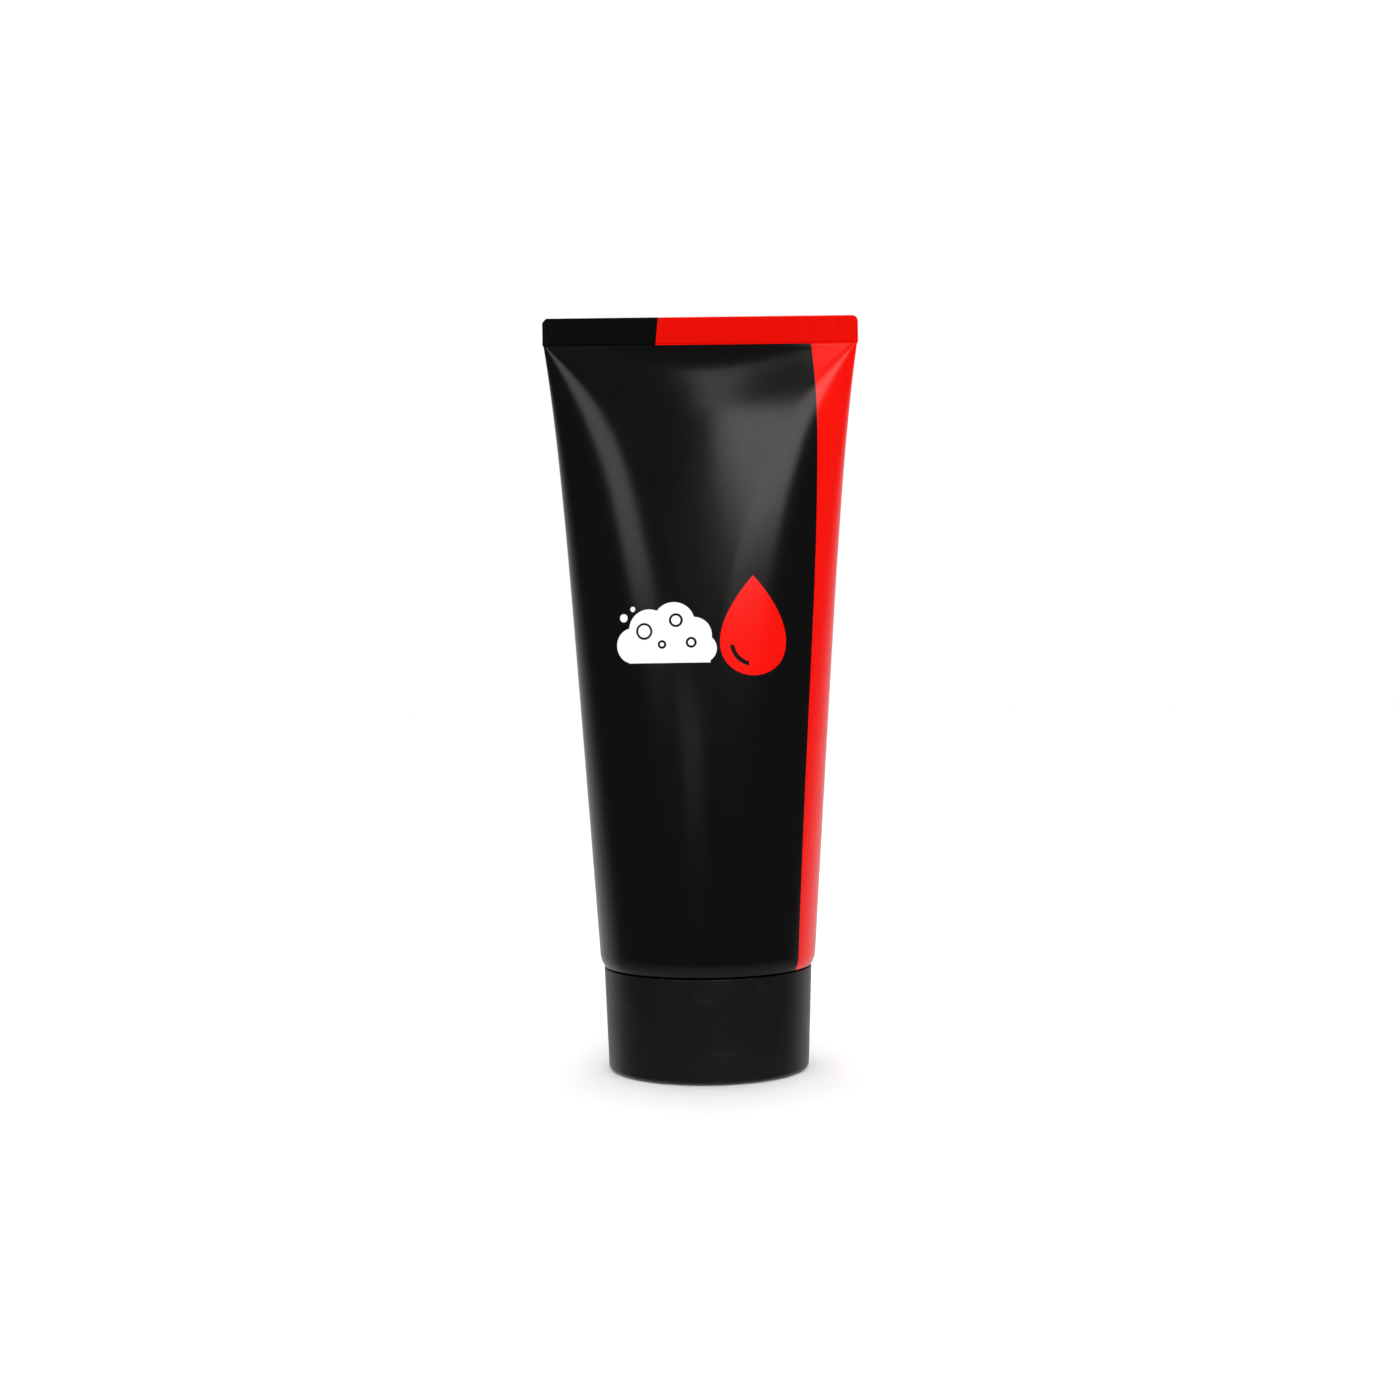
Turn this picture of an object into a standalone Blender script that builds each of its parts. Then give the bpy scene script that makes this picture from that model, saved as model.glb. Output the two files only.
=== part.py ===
"""A squeeze tube of shaving cream that stands on its screw cap, closed end up.

Metres, +Z up, front of the tube towards -Y. The origin is on the tube's axis, in the plane that the cap
stands on. The cap is the part that stays put: the tube unscrews upwards out of it about the +Z axis.
"""

import math

import bmesh
import bpy
from mathutils import Matrix

MM = 0.001

# Driving dimensions
TUBE_D = 51.7 * MM
SEAL_WIDTH = 76.0 * MM
OVERALL_HEIGHT = 180.0 * MM
SEAL_HEIGHT = 6.7 * MM
CAP_HEIGHT = 24.2 * MM
CAP_RIM_D = 49.7 * MM
CAP_BASE_D = 48.0 * MM
THREAD_LEAD = 6.0 * MM
THREAD_STARTS = 2
ORIFICE_D = 6.0 * MM
GAP = 0.3 * MM  # between neighbours
CAP_CLEARANCE = 0.5 * MM  # between the cap's rim and the sleeve

# Sleeve
SLEEVE_WALL = 0.5 * MM
SLEEVE_FOOT = CAP_HEIGHT + CAP_CLEARANCE
FOOT_ROUND = 6.0 * MM  # radius of the rolled-in lower edge
FOOT_DEPTH = 3.3 * MM  # height over which that edge shows
SEAL_THICKNESS = 1.1 * MM
SEAL_FOOT = OVERALL_HEIGHT - SEAL_HEIGHT
SHOULDER_LEVEL = SLEEVE_FOOT + FOOT_DEPTH
FLARE_SHARE = 0.165  # share of the widening that happens close under the seal
FLARE_POWER = 6.2
FLAT_START = 0.3  # how far up the front starts to turn flat
FLAT_CORNER_SHARE = 0.2
FLAT_CORNER_POWER = 12
LEAST_FLAT = 0.1 * MM
BELLY = 2.0 * MM  # how far the filling pushes the flat front and back out
BELLY_POWER = 8  # the higher, the closer under the seal
CAVITY_TOP = 0.97

# Cap
CAP_WALL = 1.4 * MM
CAP_FLOOR = 2.0 * MM
CAP_EDGE_ROUND = 1.0 * MM
STAND_RECESS_R = 17.0 * MM
STAND_RECESS = 0.5 * MM
RIM_CHAMFER = 0.25 * MM
SKIRT_BORE_R = 12.6 * MM
SKIRT_R = 14.2 * MM
SKIRT_TOP = 20.0 * MM
LINER_SEAT_R = (7.0 * MM, 8.4 * MM)
LINER_SEAT_TOP = 4.45 * MM
RIB_COUNT = 8
RIB_THICKNESS = 1.0 * MM
RIB_TOP = 13.0 * MM

# Thread, as a ridge on a round wall
RIDGE_HEIGHT = 1.2 * MM
RIDGE_FLANK = 0.4 * MM
RIDGE_CREST = 0.65 * MM
RIDGE_FADE = 1.6 * MM
CAP_THREAD = (8.0 * MM, 18.8 * MM)
NECK_THREAD = (8.4 * MM, 18.2 * MM)

# Head
NECK_R = 11.0 * MM
NECK_BORE_R = 9.4 * MM
NECK_TIP = 6.9 * MM
ORIFICE_PLATE = 1.2 * MM
NECK_ROOT = 22.3 * MM
SHOULDER_PLATE = 1.6 * MM

# Foil, liner, cream
FOIL_R = 10.4 * MM
FOIL_THICKNESS = 0.15 * MM
LINER_R = 11.8 * MM
LINER_THICKNESS = 1.4 * MM
CREAM_GAP = SLEEVE_WALL + GAP + 0.05 * MM
CREAM_FOOT = 0.006
CREAM_TOP = 0.79

COLUMNS = 48
FLAT_COLUMNS = 4  # of those, on each of the sleeve's flat sides
SLEEVE_STEPS = 14
CAVITY_STEPS = 9
CREAM_STEPS = 7
ARC_STEPS = 4


def clear_scene():
    for thing in list(bpy.data.objects):
        bpy.data.objects.remove(thing, do_unlink=True)


def material(name, color, roughness, metallic=0.0):
    made = bpy.data.materials.new(name)
    made.use_nodes = True
    shader = made.node_tree.nodes["Principled BSDF"]
    shader.inputs["Base Color"].default_value = (*color, 1.0)
    shader.inputs["Roughness"].default_value = roughness
    shader.inputs["Metallic"].default_value = metallic
    return made


# ---------------------------------------------------------------- building solids from rings


def round_ring(radius, height):
    """COLUMNS points on a level circle."""
    turns = [2 * math.pi * i / COLUMNS for i in range(COLUMNS)]
    return [(radius * math.cos(a), radius * math.sin(a), height) for a in turns]


def solid_from_rings(name, rings, finish):
    """A solid skinned over a stack of rings, its first and last rings filled."""
    mesh = bmesh.new()
    rows = [[mesh.verts.new(point) for point in ring] for ring in rings]
    mesh.faces.new(rows[0])
    mesh.faces.new(rows[-1])
    for low, high in zip(rows, rows[1:]):
        skin(mesh, low, high)
    return finished(name, mesh, finish)


def skin(mesh, low, high):
    count = len(low)
    for i in range(count):
        j = (i + 1) % count
        mesh.faces.new((low[i], low[j], high[j], high[i]))


def finished(name, mesh, finish):
    bmesh.ops.remove_doubles(mesh, verts=mesh.verts[:], dist=1e-7)
    bmesh.ops.dissolve_degenerate(mesh, edges=mesh.edges[:], dist=1e-7)
    bmesh.ops.recalc_face_normals(mesh, faces=mesh.faces[:])
    data = bpy.data.meshes.new(name)
    mesh.to_mesh(data)
    mesh.free()
    data.shade_smooth()
    data.set_sharp_from_angle(angle=math.radians(35))
    if finish:
        data.materials.append(finish)
    made = bpy.data.objects.new(name, data)
    bpy.context.scene.collection.objects.link(made)
    return made


def arc(centre, radius, start, end, steps=ARC_STEPS):
    """(radius, height) points on a circular arc, with angles in degrees in the profile's plane."""
    angles = [math.radians(start + (end - start) * i / steps) for i in range(steps + 1)]
    return [(centre[0] + radius * math.cos(a), centre[1] + radius * math.sin(a)) for a in angles]


# ---------------------------------------------------------------- threads


def thread_fade(height, span):
    """0 at both ends of the thread, 1 where it is at full depth."""
    share = min(height - span[0], span[1] - height) / RIDGE_FADE
    share = min(max(share, 0.0), 1.0)
    return share * share * (3 - 2 * share)


def add_threaded_wall(mesh, root_radius, side, span, phase):
    """The wall between two heights, with THREAD_STARTS helical ridges on it.

    side is +1 for a ridge that stands outwards and -1 for one that stands inwards. Each column of points
    climbs with the helix, so the seam joins a row to the one THREAD_STARTS ridges lower.
    """
    spacing = THREAD_LEAD / THREAD_STARTS
    ridge = [
        (0.0, 0.0),
        (RIDGE_FLANK, RIDGE_HEIGHT),
        (RIDGE_FLANK + RIDGE_CREST, RIDGE_HEIGHT),
        (2 * RIDGE_FLANK + RIDGE_CREST, 0.0),
    ]
    ridge_count = math.ceil((span[1] - span[0]) / spacing) + 2 * THREAD_STARTS + 1
    columns = []
    for i in range(COLUMNS):
        turn = i / COLUMNS
        base = span[0] + phase - 2 * THREAD_LEAD + THREAD_LEAD * turn
        column = []
        for k in range(ridge_count + THREAD_STARTS):
            for rise, height in ridge:
                level = min(max(base + k * spacing + rise, span[0]), span[1])
                radius = root_radius + side * height * thread_fade(level, span)
                angle = 2 * math.pi * turn
                point = (radius * math.cos(angle), radius * math.sin(angle), level)
                column.append(mesh.verts.new(point))
        columns.append(column)
    shift = THREAD_STARTS * len(ridge)
    for i, column in enumerate(columns):
        at_seam = i == COLUMNS - 1
        beside = columns[0][shift:] if at_seam else columns[i + 1]
        for j in range(min(len(column), len(beside)) - 1):
            mesh.faces.new((column[j], beside[j], beside[j + 1], column[j + 1]))


def solid_with_thread(name, before, after, wall, finish, closed_loop):
    """A turned solid whose profile runs along before, up a threaded wall, and along after.

    The profile closes on itself if closed_loop. Otherwise its first and last rings are filled with a disc.
    """
    mesh = bmesh.new()
    add_threaded_wall(mesh, **wall)
    foot = (wall["root_radius"], wall["span"][0])
    top = (wall["root_radius"], wall["span"][1])
    below = [[mesh.verts.new(point) for point in round_ring(*place)] for place in before + [foot]]
    above = [[mesh.verts.new(point) for point in round_ring(*place)] for place in [top] + after]
    for low, high in list(zip(below, below[1:])) + list(zip(above, above[1:])):
        skin(mesh, low, high)
    if closed_loop:
        skin(mesh, above[-1], below[0])
    else:
        mesh.faces.new(below[0])
        mesh.faces.new(above[-1])
    return finished(name, mesh, finish)


# ---------------------------------------------------------------- the sleeve's shape


def ellipse_girth(half_a, half_b):
    """Ramanujan's formula."""
    ratio = ((half_a - half_b) / (half_a + half_b)) ** 2
    return math.pi * (half_a + half_b) * (1 + 3 * ratio / (10 + math.sqrt(4 - 3 * ratio)))


def half_width(share):
    """Half the sleeve's width; share runs from 0 at the round shoulder to 1 at the seal's lower edge."""
    growth = SEAL_WIDTH / 2 - TUBE_D / 2
    return TUBE_D / 2 + growth * ((1 - FLARE_SHARE) * share + FLARE_SHARE * share**FLARE_POWER)


def flat_half(share):
    """Half the width of the front that is flat from side to side."""
    climb = max(share - FLAT_START, 0.0) / (1 - FLAT_START)
    full = SEAL_WIDTH / 2 - SEAL_THICKNESS / 2
    curve = (1 - FLAT_CORNER_SHARE) * climb**2 + FLAT_CORNER_SHARE * climb**FLAT_CORNER_POWER
    return max(full * curve, LEAST_FLAT)


def half_depth(share):
    """Half the front-to-back depth: a sleeve made from round stock keeps nearly the same girth all the way."""
    girth = math.pi * TUBE_D * (1 - share) + 2 * SEAL_WIDTH * share
    flat = flat_half(share)
    end = half_width(share) - flat
    low = SEAL_THICKNESS / 2
    high = TUBE_D / 2
    for _ in range(40):
        middle = (low + high) / 2
        if 4 * flat + ellipse_girth(end, middle) > girth:
            high = middle
        else:
            low = middle
    return (low + high) / 2


def oval_ring(flat, end, depth, height):
    """A level ring: straight front and back of half-length flat, and half-ellipse ends."""
    half = COLUMNS // 2 - FLAT_COLUMNS
    right = [math.pi * (i / (half - 1) - 0.5) for i in range(half)]
    points = [(flat + end * math.cos(a), depth * math.sin(a), height) for a in right]
    steps = [1 - 2 * (i + 1) / (FLAT_COLUMNS + 1) for i in range(FLAT_COLUMNS)]
    points += [(flat * step, depth, height) for step in steps]
    return points + [(-x, -y, z) for x, y, z in points]


def sleeve_level(share):
    return SHOULDER_LEVEL + (SEAL_FOOT - SHOULDER_LEVEL) * share


def belly(share, x):
    """How far the front stands out at x from the axis, most at the middle and nothing at the sides."""
    peak = BELLY_POWER / (BELLY_POWER + 1)
    rise = share**BELLY_POWER * (1 - share) / (peak**BELLY_POWER * (1 - peak))
    return BELLY * rise * math.cos(math.pi / 2 * min(abs(x) / half_width(share), 1.0)) ** 2


def sleeve_ring(share, inset=0.0):
    flat = flat_half(share)
    end = half_width(share) - flat
    ring = oval_ring(flat, end - inset, half_depth(share) - inset, sleeve_level(share))
    return [(x, y + math.copysign(belly(share, x), y), z) for x, y, z in ring]


def foot_radius(level, inset=0.0):
    """Radius of the rolled-in lower edge, inset from the outer surface."""
    drop = SHOULDER_LEVEL - level
    bend = FOOT_ROUND - inset
    return TUBE_D / 2 - FOOT_ROUND + math.sqrt(bend**2 - drop**2)


def foot_ring(level, inset=0.0):
    radius = foot_radius(level, inset)
    return oval_ring(LEAST_FLAT, radius - LEAST_FLAT, radius, level)


def spread(count, top, power):
    """count + 1 shares from 0 to top, closer together towards the top."""
    return [top * (1 - (1 - i / count) ** power) for i in range(count + 1)]


# ---------------------------------------------------------------- the pieces


def make_sleeve(finish):
    """A shell with an open foot, whose walls meet in the flat heat-sealed end."""
    foot_levels = [SLEEVE_FOOT + FOOT_DEPTH * i / ARC_STEPS for i in range(ARC_STEPS)]
    outside = [foot_ring(level) for level in foot_levels]
    outside += [sleeve_ring(share) for share in spread(SLEEVE_STEPS, 1.0, 1.7)]
    inside = [foot_ring(level, SLEEVE_WALL) for level in foot_levels]
    inside += [sleeve_ring(share, SLEEVE_WALL) for share in spread(CAVITY_STEPS, CAVITY_TOP, 1.6)]
    half = SEAL_THICKNESS / 2
    levels = (SEAL_FOOT + 0.4 * MM, OVERALL_HEIGHT)
    seal = [oval_ring(SEAL_WIDTH / 2 - half, half, half, level) for level in levels]
    return solid_from_rings("tube_sleeve", inside[::-1] + outside + seal, finish)


def make_head(finish):
    """Shoulder plate, threaded neck and orifice in one moulding, welded into the sleeve's foot."""
    weld_top = SHOULDER_LEVEL - 0.2 * MM
    weld_levels = [SLEEVE_FOOT + 0.1 * MM, SLEEVE_FOOT + 1.5 * MM, weld_top]
    weld = [(foot_radius(level, SLEEVE_WALL + GAP), level) for level in weld_levels]
    root_round = 0.9 * MM
    corner = 0.6 * MM
    plate_floor = NECK_TIP + ORIFICE_PLATE
    after = [
        *arc((NECK_R + root_round, NECK_ROOT - root_round), root_round, 180, 99, 3),
        (weld[0][0] - 1.4 * MM, SLEEVE_FOOT - 0.1 * MM),
        *weld,
        (weld[2][0] - 0.7 * MM, weld_top),
        (weld[2][0] - 2.2 * MM, weld_top - SHOULDER_PLATE / 2),
        (NECK_BORE_R + 1.0 * MM, NECK_ROOT + SHOULDER_PLATE),
        (NECK_BORE_R, NECK_ROOT + SHOULDER_PLATE - 1.0 * MM),
        (NECK_BORE_R, plate_floor + corner),
        (NECK_BORE_R - corner, plate_floor),
        (ORIFICE_D / 2, plate_floor),
    ]
    tip = [(ORIFICE_D / 2, NECK_TIP), (NECK_R - corner, NECK_TIP), (NECK_R, NECK_TIP + corner)]
    wall = {"root_radius": NECK_R, "side": 1, "span": NECK_THREAD, "phase": 0.0}
    return solid_with_thread("tube_head", tip, after, wall, finish, closed_loop=True)


def make_cap(finish):
    """Outer skirt, end disc, threaded inner skirt and stiffening ribs in one moulding."""
    rim = CAP_RIM_D / 2
    base = CAP_BASE_D / 2
    corner = 0.6 * MM
    floor = [
        (LINER_SEAT_R[0], CAP_FLOOR),
        (LINER_SEAT_R[0], LINER_SEAT_TOP),
        (LINER_SEAT_R[1], LINER_SEAT_TOP),
        (LINER_SEAT_R[1], CAP_FLOOR),
        (SKIRT_BORE_R, CAP_FLOOR),
    ]
    after = [
        (SKIRT_BORE_R, SKIRT_TOP - corner),
        (SKIRT_BORE_R + corner, SKIRT_TOP),
        (SKIRT_R, SKIRT_TOP),
        (SKIRT_R, CAP_FLOOR),
        (base - CAP_WALL, CAP_FLOOR),
        (rim - CAP_WALL, CAP_HEIGHT),
        (rim - RIM_CHAMFER, CAP_HEIGHT),
        (rim, CAP_HEIGHT - RIM_CHAMFER),
        *arc((base - CAP_EDGE_ROUND, CAP_EDGE_ROUND), CAP_EDGE_ROUND, 0, -90),
        (STAND_RECESS_R + STAND_RECESS, 0.0),
        (STAND_RECESS_R, STAND_RECESS),
    ]
    # The cap's ridges lie midway between the neck's.
    phase = NECK_THREAD[0] - CAP_THREAD[0] + THREAD_LEAD / THREAD_STARTS / 2
    wall = {"root_radius": SKIRT_BORE_R, "side": -1, "span": CAP_THREAD, "phase": phase}
    cap = solid_with_thread("screw_cap", floor, after, wall, finish, closed_loop=False)
    union = cap.modifiers.new("ribs", "BOOLEAN")
    union.operation = "UNION"
    union.object = make_ribs(base - CAP_WALL)
    return cap


def make_ribs(outer_radius):
    """The radial ribs between the cap's two skirts, each sunk a little into what it joins."""
    sink = 0.4 * MM
    inner = SKIRT_R - sink
    outer = outer_radius + sink
    mesh = bmesh.new()
    for i in range(RIB_COUNT):
        box = bmesh.ops.create_cube(mesh, size=1.0)["verts"]
        bmesh.ops.scale(mesh, vec=(outer - inner, RIB_THICKNESS, RIB_TOP - CAP_FLOOR + sink), verts=box)
        middle = ((inner + outer) / 2, 0.0, (RIB_TOP + CAP_FLOOR - sink) / 2)
        bmesh.ops.translate(mesh, vec=middle, verts=box)
        turn = Matrix.Rotation(2 * math.pi * (i + 0.5) / RIB_COUNT, 3, "Z")
        bmesh.ops.rotate(mesh, cent=(0, 0, 0), matrix=turn, verts=box)
    ribs = finished("cap_rib_shapes", mesh, None)
    ribs.hide_render = True
    ribs.display_type = "WIRE"
    return ribs


def make_disc(name, radius, foot, thickness, finish):
    rings = [round_ring(radius, foot), round_ring(radius, foot + thickness)]
    return solid_from_rings(name, rings, finish)


def make_cream(finish):
    """The filling, a clear gap inside the head and the sleeve."""
    gap = CREAM_GAP - SLEEVE_WALL
    cone_foot = NECK_ROOT + SHOULDER_PLATE
    plate_floor = NECK_TIP + ORIFICE_PLATE
    weld_r = foot_radius(SHOULDER_LEVEL, SLEEVE_WALL + GAP)
    places = [
        (NECK_BORE_R - 1.1 * MM, plate_floor + gap),
        (NECK_BORE_R - gap, plate_floor + 1.1 * MM),
        (NECK_BORE_R - gap, cone_foot - 0.8 * MM),
        (NECK_BORE_R + 0.9 * MM, cone_foot + gap),
        (weld_r - 2.4 * MM, SHOULDER_LEVEL - 0.6 * MM),
        (weld_r - 1.0 * MM, SHOULDER_LEVEL + 0.2 * MM),
    ]
    rings = [oval_ring(LEAST_FLAT, radius, radius, level) for radius, level in places]
    shares = spread(CREAM_STEPS, CREAM_TOP, 1.5)
    shares[0] = CREAM_FOOT
    rings += [sleeve_ring(share, CREAM_GAP) for share in shares]
    return solid_from_rings("cream_fill", rings, finish)


clear_scene()
black_lacquer = material("black_lacquer", (0.008, 0.008, 0.008), 0.35)
black_polymer = material("black_polymer", (0.012, 0.012, 0.012), 0.5)
black_head = material("black_head", (0.015, 0.015, 0.015), 0.4)
foil_metal = material("foil_metal", (0.75, 0.76, 0.77), 0.3, metallic=1.0)
white_foam = material("white_foam", (0.82, 0.82, 0.8), 0.9)
white_cream = material("white_cream", (0.9, 0.9, 0.88), 0.5)

make_cap(black_polymer)
make_disc("cap_liner", LINER_R, LINER_SEAT_TOP + GAP, LINER_THICKNESS, white_foam)
foil_foot = NECK_TIP - GAP - FOIL_THICKNESS
make_disc("foil_membrane", FOIL_R, foil_foot, FOIL_THICKNESS, foil_metal)
make_head(black_head)
make_cream(white_cream)
make_sleeve(black_lacquer)
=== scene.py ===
"""Looks of a shaving cream tube: a satin black squeeze sleeve with a red band, standing on its screw cap.

Everything is in metres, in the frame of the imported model: +Z runs up the tube's axis and the printed front
faces -Y.
"""

import math

import bmesh
import bpy
import numpy as np
from mathutils import Matrix, Vector


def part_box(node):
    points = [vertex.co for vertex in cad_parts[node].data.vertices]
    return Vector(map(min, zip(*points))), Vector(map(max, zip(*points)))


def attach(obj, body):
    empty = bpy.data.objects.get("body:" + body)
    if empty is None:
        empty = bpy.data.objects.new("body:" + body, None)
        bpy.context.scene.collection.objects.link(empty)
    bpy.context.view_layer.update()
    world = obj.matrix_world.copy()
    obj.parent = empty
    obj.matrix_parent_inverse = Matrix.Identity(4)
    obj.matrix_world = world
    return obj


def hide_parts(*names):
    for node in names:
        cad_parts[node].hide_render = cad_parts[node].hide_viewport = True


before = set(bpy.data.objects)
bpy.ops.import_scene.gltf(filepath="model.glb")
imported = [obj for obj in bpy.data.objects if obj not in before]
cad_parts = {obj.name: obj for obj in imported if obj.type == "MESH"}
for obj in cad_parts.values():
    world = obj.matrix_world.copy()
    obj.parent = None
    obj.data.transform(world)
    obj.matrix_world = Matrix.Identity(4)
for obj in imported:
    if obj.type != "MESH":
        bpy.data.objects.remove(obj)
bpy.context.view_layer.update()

MM = 0.001

# ---------------------------------------------------------------- sizes, read from the frame
sleeve_low, sleeve_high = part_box("tube_sleeve")
_, cap_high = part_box("screw_cap")
head_low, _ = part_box("tube_head")
foil_low, foil_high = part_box("foil_membrane")
liner_low, liner_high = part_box("cap_liner")

SEAL_HALF = sleeve_high.x
TUBE_R = 25.85 * MM
TOP = sleeve_high.z
SLEEVE_FOOT = sleeve_low.z
CAP_TOP = cap_high.z
CAP_RIM_R = cap_high.x
CAP_BASE_R = CAP_RIM_R - 0.85 * MM

# Sleeve, as in the CAD
WALL = 0.5 * MM
FOOT_ROUND = 6.0 * MM
FOOT_DEPTH = 3.3 * MM
SHOULDER_LEVEL = SLEEVE_FOOT + FOOT_DEPTH
SEAL_HEIGHT = 6.7 * MM
SEAL_FOOT = TOP - SEAL_HEIGHT
# Above PRESSED_FOOT the seal's red is also painted darker, as painted shade.
PRESSED_FOOT = SEAL_FOOT + 0.3 * MM  # where the jaws' pattern and the seal's duller finish begin
SEAL_THICKNESS = 1.1 * MM
SEAL_CORNER_ROUND = 1.5 * MM  # top right
SEAL_CORNER_CUT = 1.0 * MM  # top left
RIB_PITCH = 0.62 * MM  # of the seal's fine upright ribs
BODY_TOP_HALF = SEAL_HALF - 0.25 * MM  # the pressed seal spreads a little past the sleeve's edge
FLARE_SHARE = 0.165  # of the widening, which comes late and quickly below the seal
FLARE_POWER = 6.2
FLAT_START = 0.3  # share of the height where the front begins to flatten
FLAT_CORNER_SHARE = 0.2  # of the flat's growth, which comes late and quickly
FLAT_CORNER_POWER = 12
LEAST_FLAT = 0.1 * MM
BELLY = 2.0 * MM  # how far the filling swells the front and the back near the seal
BELLY_POWER = 8
CAVITY_TOP = 0.97  # share of the height that is hollow

# Print, in arc length from the front's centre line
BAND_EDGE = (24.6 * MM, 27.8 * MM)  # low down and high up
BAND_RISE = (20.0 * MM, 140.0 * MM)  # the heights between which it moves
BAND_TUCK = 1.2 * MM  # how far it comes back at the seal
BAND_TUCK_START = 145.0 * MM
SEAL_PRINT_EDGE = -10.8 * MM
SEAL_PRINT_SLANT = 0.105

# The emblem, in mm: across from the front's centre line and up from the floor. Circles are given by their
# centres, from the lather's or the drop's own centre, and their radii.
FOAM_CENTRE = (-8.4, 103.6)
FOAM_LOBES = ((-8.4, -2.9, 4.1), (-4.4, 0.6, 4.9), (1.4, 2.2, 4.9), (6.0, -0.6, 4.2), (8.0, -3.7, 3.3))
FOAM_FOOT, FOAM_SLAB_TOP = -7.0, -1.5
FOAM_SLAB_SIDES = (-9.4, 9.8)
FOAM_BUBBLES = ((-5.6, 0.4, 1.7), (1.9, 2.9, 1.35), (5.4, -2.3, 1.0), (-1.4, -2.7, 0.75))
BUBBLE_LINE = 0.27
FOAM_LOOSE = ((-10.6, 3.6, 0.95), (-8.3, 5.6, 0.6))
DROP_CENTRE = (11.6, 105.2)
DROP_SIZE = (20.8, 23.4)
DROP_TRIM = 0.06
GLEAM = (0.0, -3.9, 5.2)
GLEAM_LINE = 0.5
GLEAM_CORNER = (-1.2, -4.6)  # the gleam is the part of its circle to the left of this and below it

# Thread and neck, as in the CAD
THREAD_LEAD = 6.0 * MM
THREAD_STARTS = 2
RIDGE_HEIGHT = 1.2 * MM
RIDGE_FLANK = 0.4 * MM
RIDGE_CREST = 0.65 * MM
RIDGE_FADE = 1.6 * MM
CAP_THREAD = (8.0 * MM, 18.8 * MM)
NECK_THREAD = (8.4 * MM, 18.2 * MM)
NECK_R = 11.0 * MM
NECK_BORE_R = 9.4 * MM
NECK_ROOT = 22.3 * MM
ORIFICE_R = 3.0 * MM
ORIFICE_PLATE = 1.2 * MM
HEAD_CLEARANCE = 0.3 * MM  # between the head's weld and the sleeve's inside
SKIRT_BORE_R = 12.6 * MM

# Mesh fineness
AROUND = 512  # points along a ring of the sleeve
BODY_ROWS = 116
TURNED = 192  # points along a ring of a turned piece
FINE = 900  # points round one end of an outline while its arc length is measured


# ---------------------------------------------------------------- meshes


def object_from(name, points, faces, sharp_angle=30, print_places=None):
    mesh = bpy.data.meshes.new(name)
    mesh.from_pydata([tuple(p) for p in points], [], faces)
    if print_places is not None:
        store = mesh.attributes.new("print_at", "FLOAT_VECTOR", "POINT")
        store.data.foreach_set("vector", print_places.astype(np.float32).ravel())
    made = bpy.data.objects.new(name, mesh)
    bpy.context.scene.collection.objects.link(made)
    work = bmesh.new()
    work.from_mesh(mesh)
    bmesh.ops.remove_doubles(work, verts=work.verts[:], dist=1e-7)
    bmesh.ops.dissolve_degenerate(work, edges=work.edges[:], dist=1e-7)
    bmesh.ops.recalc_face_normals(work, faces=work.faces[:])
    work.to_mesh(mesh)
    work.free()
    mesh.shade_smooth()
    mesh.set_sharp_from_angle(angle=math.radians(sharp_angle))
    return made


def skin_faces(first, count, low, high):
    """Quads between two rings of count points, rings low and high, where ring 0 starts at point first."""
    a = first + low * count
    b = first + high * count
    return [(a + i, a + (i + 1) % count, b + (i + 1) % count, b + i) for i in range(count)]


def stacked(name, rings, sharp_angle=30, print_places=None):
    """A solid skinned over a stack of equal rings and filled at both ends."""
    count = len(rings[0])
    points = [p for ring in rings for p in ring]
    faces = []
    for row in range(len(rings) - 1):
        faces += skin_faces(0, count, row, row + 1)
    faces.append(tuple(range(count)))
    faces.append(tuple((len(rings) - 1) * count + i for i in range(count)))
    return object_from(name, points, faces, sharp_angle, print_places)


def circle(radius, level, count=TURNED):
    turns = np.arange(count) * 2 * math.pi / count
    return np.column_stack([radius * np.cos(turns), radius * np.sin(turns), np.full(count, level)])


def arc(centre, radius, start, end, steps=6):
    angles = [math.radians(start + (end - start) * i / steps) for i in range(steps + 1)]
    return [(centre[0] + radius * math.cos(a), centre[1] + radius * math.sin(a)) for a in angles]


# ---------------------------------------------------------------- the sleeve's shape


def ellipse_girth(half_a, half_b):
    ratio = ((half_a - half_b) / (half_a + half_b)) ** 2
    return math.pi * (half_a + half_b) * (1 + 3 * ratio / (10 + math.sqrt(4 - 3 * ratio)))


def half_width(share):
    growth = BODY_TOP_HALF - TUBE_R
    return TUBE_R + growth * ((1 - FLARE_SHARE) * share + FLARE_SHARE * share**FLARE_POWER)


def flat_half(share):
    climb = max(share - FLAT_START, 0.0) / (1 - FLAT_START)
    full = BODY_TOP_HALF - SEAL_THICKNESS / 2
    curve = (1 - FLAT_CORNER_SHARE) * climb**2 + FLAT_CORNER_SHARE * climb**FLAT_CORNER_POWER
    return max(full * curve, LEAST_FLAT)


def half_depth(share):
    """Half the depth that gives the section the girth of the round stock it is made from."""
    girth = 2 * math.pi * TUBE_R * (1 - share) + 4 * SEAL_HALF * share
    flat = flat_half(share)
    end = half_width(share) - flat
    low, high = SEAL_THICKNESS / 2, TUBE_R
    for _ in range(40):
        middle = (low + high) / 2
        if 4 * flat + ellipse_girth(end, middle) > girth:
            high = middle
        else:
            low = middle
    return (low + high) / 2


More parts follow.
